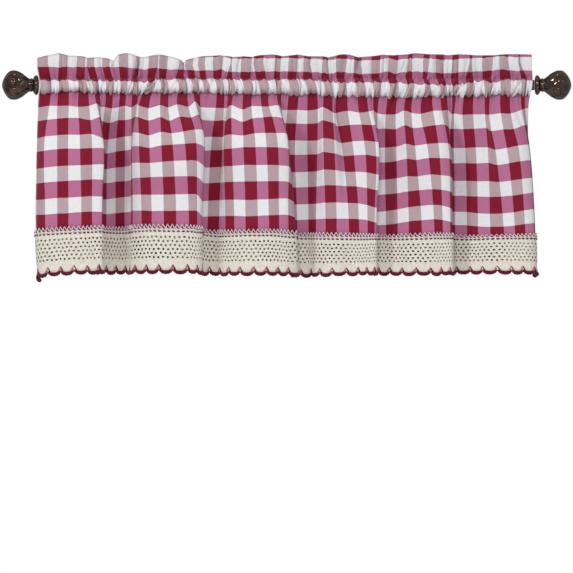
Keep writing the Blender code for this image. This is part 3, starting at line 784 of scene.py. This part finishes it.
check_rows = [front_check(layer[:, 2]) for layer in front]
for before, layer in zip([front[-1]] + back, back):
    check_rows.append(check_rows[-1] - np.linalg.norm(layer[:, 1:] - before[:, 1:], axis=1) / BACK_ROW_FLAT)
tucked_line = stripe_line + TUCKED_STRIPES * np.clip((stripe_line - TUCK_START) / TUCK_WIDTH, 0.0, 1.0)
upper_uv = [np.stack((tucked_line, rows), axis=-1) for rows in check_rows]
cloth_uv = np.concatenate((np.stack(skirt_places, axis=-1), np.stack(upper_uv, axis=1)), axis=1)

# Painted shade, how much darker each point's colour is: the skirt's top, its gathers and the lower stitches
skirt_painted_shade = SKIRT_SHADE * fading(skirt_places[1], SKIRT_SHADE_ROWS)
for cycles, depth, wander, phase, fade in GATHERS[1:]:
    painted_shade = valley(gather_turn(*skirt_places, cycles, wander, phase), GATHER_SHARPNESS)
    skirt_painted_shade = np.maximum(skirt_painted_shade, GATHER_PAINTED_SHADE * painted_shade * fading(skirt_rows, GATHER_PAINTED_SHADE_ROWS))
skirt_painted_shade[:, -1] = np.maximum(skirt_painted_shade[:, -1], pocket_painted_shade(0.0))
upper_painted_shade = [pocket_painted_shade(t) for t in pocket_heights] + [heading_painted_shade(t) for t in heading_heights]
upper_painted_shade += [np.zeros(COLUMNS)] * len(back)
cloth_painted_shade = np.concatenate((skirt_painted_shade, np.stack(upper_painted_shade, axis=1)), axis=1)

rows_in_cloth = cloth_points.shape[1]
corner = (np.arange(COLUMNS - 1)[:, None] * rows_in_cloth + np.arange(rows_in_cloth - 1)).ravel()
cloth_faces = np.stack((corner, corner + 1, corner + rows_in_cloth + 1, corner + rows_in_cloth), axis=1)
cloth = add_piece("check_cloth", cloth_points, cloth_faces.tolist())
pattern_map = cloth.data.uv_layers.new(name="pattern")
pattern_map.data.foreach_set("uv", cloth_uv.reshape(-1, 2)[cloth_faces.ravel()].astype(np.float32).ravel())
# The painted shade goes to the cloth's finish as a point attribute
painted_shade_layer = cloth.data.attributes.new("painted_shade", "FLOAT", "POINT")
painted_shade_layer.data.foreach_set("value", cloth_painted_shade.astype(np.float32).ravel())


def thicken(sheet, thickness):
    """Gives a sheet its thickness, half of it on each side."""
    body = sheet.modifiers.new("thickness", "SOLIDIFY")
    body.thickness = thickness
    body.offset = 0.0


thicken(cloth, CLOTH_THICKNESS)

WHITE_CHECK = (0.86, 0.86, 0.88, 1.0)
TAUPE_CHECK = (0.51, 0.375, 0.41, 1.0)
MAUVE_CHECK = (0.50, 0.165, 0.305, 1.0)
BURGUNDY_CHECK = (0.24, 0.004, 0.027, 1.0)
DARK_ROW_SHARE, EDGE_WAVER = 0.536, 0.05
THREADS_A_STRIPE, THREADS_A_ROW = 44, 60
# How far the threads and their slubs swing the colour's brightness, and from what level
WEAVE_SWING, WEAVE_LEVEL, SLUB_SWING, SLUB_LEVEL = 0.13, 0.97, 0.22, 0.89
PAINTED_SHADE_STRENGTH = 0.72
WEAVE_DEPTH, RUMPLE_DEPTH = 0.0002, 0.002
check, check_shader = new_finish("buffalo_check_cotton", 0.88)


def sum_up(operation, *values):
    """A maths node's result in the check's finish, from sockets or plain numbers."""
    node = add_node(check, "ShaderNodeMath", operation=operation)
    for entry, value in enumerate(values):
        wire(check, value, node, entry)
    return node.outputs[0]


def blend_colours(share, first, second, kind="MIX"):
    """A colour mix in the check's finish, between two sockets or plain colours."""
    node = add_node(check, "ShaderNodeMix", data_type="RGBA", blend_type=kind)
    for entry, value in ((0, share), (6, first), (7, second)):
        wire(check, value, node, entry)
    return node.outputs[2]


split = add_node(check, "ShaderNodeSeparateXYZ")
wire(check, add_node(check, "ShaderNodeUVMap", uv_map="pattern").outputs["UV"], split, "Vector")
waver = sum_up("MULTIPLY", sum_up("SUBTRACT", noise(check, 60.0, 2.0), 0.5), EDGE_WAVER)
stripe_place, row_place = (
    sum_up("FRACT", sum_up("MULTIPLY", sum_up("ADD", split.outputs[axis], waver), 0.5)) for axis in "XY")
in_dark_stripe = sum_up("GREATER_THAN", stripe_place, 0.5)
light_rows = blend_colours(in_dark_stripe, WHITE_CHECK, TAUPE_CHECK)
dark_rows = blend_colours(in_dark_stripe, MAUVE_CHECK, BURGUNDY_CHECK)
flat_check = blend_colours(sum_up("LESS_THAN", row_place, DARK_ROW_SHARE), light_rows, dark_rows)
warp, weft = (sum_up("SINE", sum_up("MULTIPLY", split.outputs[axis], math.pi * threads))
              for axis, threads in (("X", THREADS_A_STRIPE), ("Y", THREADS_A_ROW)))
weave = sum_up("MULTIPLY", warp, weft)
weave_shade = sum_up("MULTIPLY_ADD", weave, WEAVE_SWING, WEAVE_LEVEL)
slub_shade = sum_up("MULTIPLY_ADD", noise(check, 420.0, 3.0), SLUB_SWING, SLUB_LEVEL)
# Painted shade: the cloth's colour is darkened in creases and gathers, over the heading and the skirt's top
painted_shade_amount = add_node(check, "ShaderNodeAttribute", attribute_name="painted_shade").outputs["Fac"]
painted_shade_factor = sum_up("MULTIPLY_ADD", painted_shade_amount, -PAINTED_SHADE_STRENGTH, 1.0)
weave_and_painted_shade = sum_up("MULTIPLY", sum_up("MULTIPLY", weave_shade, slub_shade), painted_shade_factor)
woven_check_and_painted_shade = blend_colours(1.0, flat_check, weave_and_painted_shade, "MULTIPLY")
wire(check, woven_check_and_painted_shade, check_shader, "Base Color")
weave_bump = bump(check, weave, 0.25, WEAVE_DEPTH)
wire(check, bump(check, noise(check, 120.0, 3.0), 0.3, RUMPLE_DEPTH, weave_bump), check_shader, "Normal")
check_shader.inputs["Sheen Weight"].default_value = 0.12
check_shader.inputs["Specular IOR Level"].default_value = 0.25
cloth.data.materials.append(check)
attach(cloth, "root")
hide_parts("valance_cloth")

# The lace band
# Ecru cotton crocheted in one strip, with six staggered rows of small holes and a pointed lower
# edge. It is laid over the hem's front and sewn on along its top.
SCALLOPS = 57
CELLS = 3 * SCALLOPS
LACE_THICKNESS = 0.0010
LACE_OFFSET = CLOTH_THICKNESS / 2 + 0.0006 + LACE_THICKNESS / 2
BODY_TOP, FIRST_HOLES, HOLE_PITCH_DOWN, HOLE_ROWS = 0.0068, 0.0183, 0.0061, 6
LACE_NOTCH, LACE_TIP, POINT_SHOULDER, POINT_ROUNDNESS = 0.059, 0.0705, 0.60, 0.8
HOLE_HALF_WIDTH, HOLE_HALF_HEIGHT = 0.0024, 0.0019
# Each hole's three rings, its raised rim, its edge and its sunk floor in painted shade: how much wider,
# how far out
HOLE_RINGS = ((0.0006, 0.00045), (0.0, 0.0002), (-0.0002, -0.0010))
# How far the holes stray and stretch, and how fast that changes from one to the next
HOLE_STRAY, STRAY_PACES, STRAY_DOWN = 0.0004, (12.9, 7.3), 900.0
STRETCH_LEVEL, STRETCH_SWING, STRETCH_PACE, STRETCH_DOWN = 0.92, 0.10, 5.1, 1700.0
half_cell = STRIPES / (2 * CELLS)
cell_half_width = half_cell * STRIPE_FLAT
lace_numbers, lace_places = {}, []
yarn_faces, painted_shade_faces = [], []


def point_outline(column):
    """Depth of the band's pointed lower edge; column counts half cells, six to a point."""
    phase = (np.asarray(column, float) / 6.0) % 1.0
    rise = np.clip((1.0 - np.abs(2 * phase - 1.0)) / POINT_SHOULDER, 0.0, 1.0)
    return LACE_NOTCH + (LACE_TIP - LACE_NOTCH) * rise ** POINT_ROUNDNESS


def lace_point(column, depth, rise=0.0):
    """The number of the lace point at a place counted in half cells and a depth below the top."""
    key = (round(float(column), 4), round(float(depth) * 1e6), round(rise * 1e6))
    if key not in lace_numbers:
        lace_numbers[key] = len(lace_places)
        lace_places.append((float(column), float(depth), rise))
    return lace_numbers[key]


def lace_cell(column, depth):
    """One cell: eight points round it, a raised rim, the hole's edge and its floor in painted shade."""
    middle = column + 1
    around = ((0, -1), (1, -1), (1, 0), (1, 1), (0, 1), (-1, 1), (-1, 0), (-1, -1))
    rings = [[lace_point(middle + a, depth + b * HOLE_PITCH_DOWN / 2) for a, b in around]]
    stray_x, stray_z = (HOLE_STRAY * math.sin(pace * column + STRAY_DOWN * depth) for pace in STRAY_PACES)
    stretch = STRETCH_LEVEL + STRETCH_SWING * math.sin(STRETCH_PACE * column + STRETCH_DOWN * depth)
    for wider, rise in HOLE_RINGS:
        half_width = (HOLE_HALF_WIDTH * stretch + wider) / cell_half_width
        half_height = HOLE_HALF_HEIGHT / stretch + wider
        rings.append([lace_point(middle + stray_x / cell_half_width + a / math.hypot(a, b) * half_width,
                                 depth + stray_z + b / math.hypot(a, b) * half_height, rise)
                      for a, b in around])
    for outside, inside, faces in ((0, 1, yarn_faces), (1, 2, yarn_faces), (2, 3, painted_shade_faces)):
        for i in range(8):
            j = (i + 1) % 8
            faces.append((rings[outside][i], rings[inside][i], rings[inside][j], rings[outside][j]))
    painted_shade_faces.append(tuple(reversed(rings[3])))


def lace_patch(column, tops, feet):
    """A plain patch one half cell wide, with its depths at its left and right."""
    yarn_faces.append((lace_point(column, tops[0]), lace_point(column, feet[0]),
                       lace_point(column + 1, feet[1]), lace_point(column + 1, tops[1])))


holes_top = FIRST_HOLES - HOLE_PITCH_DOWN / 2
holes_foot = holes_top + HOLE_ROWS * HOLE_PITCH_DOWN
for column in range(2 * CELLS):
    points = point_outline((column, column + 1))
    above_holes = [np.full(2, depth) for depth in (BODY_TOP, (BODY_TOP + holes_top) / 2, holes_top)]
    below_holes = [holes_foot + share * (points - holes_foot) for share in (0.0, 0.35, 0.7, 1.0)]
    for lines in (above_holes, below_holes):
        for tops, feet in zip(lines, lines[1:]):
            lace_patch(column, tops, feet)
for hole_row in range(HOLE_ROWS):
    depth = FIRST_HOLES + hole_row * HOLE_PITCH_DOWN
    shift = hole_row % 2
    for cell in range(CELLS - shift):
        lace_cell(2 * cell + shift, depth)
    for column in (0, 2 * CELLS - 1) if shift else ():
        above, below = depth - HOLE_PITCH_DOWN / 2, depth + HOLE_PITCH_DOWN / 2
        lace_patch(column, (above, above), (depth, depth))
        lace_patch(column, (depth, depth), (below, below))


def crochet_finish(name, light, dark, roughness, scale):
    """A yarn finish: close stitches in two near tones, with a fuzzy bump."""
    material, shader = new_finish(name, roughness)
    stitch = add_node(material, "ShaderNodeTexVoronoi")
    stitch.inputs["Scale"].default_value = scale
    wire(material, add_node(material, "ShaderNodeTexCoord").outputs["Object"], stitch, "Vector")
    fuzz = noise(material, scale * 0.9, 3.0)
    wire(material, ramp(material, fuzz, [(0.32, dark), (0.60, light)]), shader, "Base Color")
    knots = bump(material, stitch.outputs["Distance"], 0.6, 0.0010)
    wire(material, bump(material, fuzz, 0.5, 0.0008, knots), shader, "Normal")
    shader.inputs["Sheen Weight"].default_value = 0.15
    shader.inputs["Specular IOR Level"].default_value = 0.2
    return material


ecru = crochet_finish("ecru_crochet", (0.87, 0.83, 0.74), (0.68, 0.635, 0.54), 0.9, 620.0)
# The holes are not cut through: their sunk floors are painted shade, dark with lighter patches
HOLE_PAINTED_SHADE_DARK, HOLE_PAINTED_SHADE_LIGHT = (0.020, 0.013, 0.009), (0.27, 0.22, 0.16)
painted_hole_shade, painted_hole_shader = new_finish("lace_hole_painted_shade", 1.0)
hole_painted_shade_tone = ramp(painted_hole_shade, noise(painted_hole_shade, 20.0, 5.0), [(0.42, HOLE_PAINTED_SHADE_DARK), (0.60, HOLE_PAINTED_SHADE_LIGHT)])
wire(painted_hole_shade, hole_painted_shade_tone, painted_hole_shader, "Base Color")
painted_hole_shader.inputs["Specular IOR Level"].default_value = 0.0

places = np.array(lace_places)
lace_points = off_cloth(places[:, 0] * half_cell, TRIM_ROW + places[:, 1] / ROW_FLAT,
                        LACE_OFFSET + places[:, 2])[0]
lace = add_piece("lace_band_crochet", lace_points, yarn_faces + painted_shade_faces, ecru, painted_hole_shade)
lace.data.polygons.foreach_set("material_index", [0] * len(yarn_faces) + [1] * len(painted_shade_faces))
thicken(lace, LACE_THICKNESS)
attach(lace, "root")
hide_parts("lace_band")

# The stitching on the lace
# Cotton sewn over the lace's crocheted top: two crossed zigzags and a cord of pale thread, with one
# burgundy thread run through them and a second, thicker one run in and out of the lace below.
ROPE_SIDES = 6


def yarn(name, strands, material, node):
    """Lines of yarn in one piece, from rows of stripe, depth, lift and radius."""
    stripe, depth, lift, radius = np.broadcast_arrays(*(np.atleast_2d(np.asarray(v, float)) for v in strands))
    centre, outward = off_cloth(stripe, TRIM_ROW + depth / ROW_FLAT, lift)
    run = unit(np.gradient(centre, axis=1))
    sideways = unit(np.cross(run, outward))
    outward = np.cross(sideways, run)
    turns = 2 * math.pi * np.arange(ROPE_SIDES)[:, None] / ROPE_SIDES
    spokes = np.cos(turns) * sideways[:, :, None, :] + np.sin(turns) * outward[:, :, None, :]
    points = centre[:, :, None, :] + radius[:, :, None, None] * spokes
    lines, steps = stripe.shape
    start = np.arange(lines)[:, None] * steps * ROPE_SIDES + np.arange(ROPE_SIDES)
    caps = start[:, ::-1].tolist() + (start + (steps - 1) * ROPE_SIDES).tolist()
    made = add_piece(name, points, ring_faces(lines, steps, ROPE_SIDES) + caps, material)
    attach(made, "root")
    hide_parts(node)
    return made


ZIGZAG_TOP, ZIGZAG_CROSS, ZIGZAG_FOOT, CORD_DEPTH = -0.0008, 0.0034, 0.0058, 0.0066
ZIGZAG_RADII, CORD_RADIUS, CORD_SWELL = (0.00064, 0.0006), 0.0012, 0.0002
PALE_LIFT, ZIGZAG_CROSS_LIFT, CORD_CROSS_LIFT = LACE_OFFSET + 0.0004, 0.0003, 0.0002
pale_thread = crochet_finish("pale_thread", (0.90, 0.85, 0.85), (0.72, 0.58, 0.60), 0.85, 900.0)
turn = np.linspace(0.0, CELLS, 8 * CELLS + 1)
level = np.ones(turn.shape)
high, low = (np.abs(2.0 * ((turn + start) % 1.0) - 1.0) for start in (0.0, 0.5))
zigzags = (turn * 2 * half_cell,
           np.stack((ZIGZAG_FOOT - (ZIGZAG_FOOT - ZIGZAG_TOP) * high,
                     ZIGZAG_FOOT - (ZIGZAG_FOOT - ZIGZAG_CROSS) * low, CORD_DEPTH * level)),
           PALE_LIFT + np.stack((ZIGZAG_CROSS_LIFT * high, 0.0 * level, CORD_CROSS_LIFT * high)),
           np.stack((ZIGZAG_RADII[0] * level, ZIGZAG_RADII[1] * level, CORD_RADIUS + CORD_SWELL * high)))
zigzag_piece = yarn("zigzag_stitches", zigzags, pale_thread, "lace_band")

RUN_DEPTHS, RUN_RADII, RUN_WAVE = np.array([[0.0094], [0.0050]]), np.array([[0.0009], [0.0007]]), 0.0003
RUN_LIFT, RUN_DIP = LACE_OFFSET + 0.0003, 0.0009
burgundy_yarn = crochet_finish("burgundy_crochet", (0.15, 0.003, 0.019), (0.06, 0.001, 0.009), 0.85, 520.0)
dips = np.sin(2 * math.pi * turn)
running = (turn * 2 * half_cell, RUN_DEPTHS + RUN_WAVE * dips, RUN_LIFT + RUN_DIP * dips,
           RUN_RADII + RUN_WAVE * dips)
running_piece = yarn("running_thread", running, burgundy_yarn, "lace_band")

# The burgundy edging
# Burgundy yarn worked round each point of the lace: a thin cord down from the notch, a thick flat
# crescent along the foot, and rosy loops that climb back up to the next notch.
CRESCENT = np.array([
    # share of the point's width, depth, radius
    (0.03, 67.3, 1.6), (0.15, 69.8, 2.6), (0.30, 71.3, 3.1), (0.50, 71.8, 3.2), (0.70, 71.4, 3.1),
    (0.85, 69.9, 2.6), (0.97, 67.6, 1.6),
])
CORD = np.array([(0.0, 59.6, 0.9), (0.05, 62.1, 1.1), (0.11, 64.8, 1.3), (0.18, 67.6, 1.4)])
UNEVENNESS, UNEVEN_PACE, STITCH_SWELL, STITCHES_A_POINT = 0.5, 2.9, 0.12, 6
point_width = STRIPES / SCALLOPS
numbers = np.arange(SCALLOPS)[:, None]
path_turn = np.linspace(0.0, 1.0, 17)
swell = 1.0 + STITCH_SWELL * np.sin(2 * math.pi * STITCHES_A_POINT * path_turn + numbers)
edge_rows = []
for path in (CRESCENT, CORD):
    knots = np.linspace(0.0, 1.0, len(path))
    share, depth, thick = (np.interp(path_turn, knots, column) for column in path.T)
    uneven_depth = depth + UNEVENNESS * np.sin(UNEVEN_PACE * numbers)
    edge_rows.append(np.stack(np.broadcast_arrays(
        (numbers + share) * point_width, uneven_depth * MM, LACE_OFFSET, thick * MM * swell)))
edging = yarn("edging_yarn", np.concatenate(edge_rows, axis=1), burgundy_yarn, "scallop_edging")

LOOPS = (
    # start share and depth, end share and depth
    (0.79, 67.6, 0.98, 60.8),
    (0.86, 68.2, 1.00, 63.0),
    (0.93, 68.8, 1.04, 65.4),
)
LOOP_LIFT, LOOP_RADIUS, LOOP_BEND, LOOP_BEND_PACE = LACE_OFFSET + 0.0006, 0.0009, 0.03, 0.4
rose_yarn = crochet_finish("rose_crochet", (0.62, 0.30, 0.38), (0.30, 0.05, 0.11), 0.8, 700.0)
loop_turn = np.linspace(0.0, 1.0, 6)
bend = LOOP_BEND * np.sin(math.pi * loop_turn + LOOP_BEND_PACE * numbers)
loop_rows = []
for start_share, start_depth, end_share, end_depth in LOOPS:
    share = start_share + (end_share - start_share) * loop_turn
    depth = start_depth + (end_depth - start_depth) * loop_turn
    row = np.stack(np.broadcast_arrays(
        (numbers + share + bend) * point_width, depth * MM, LOOP_LIFT, LOOP_RADIUS))
    loop_rows.append(row[:, :-1])
loop_piece = yarn("edging_loops", np.concatenate(loop_rows, axis=1), rose_yarn, "scallop_edging")
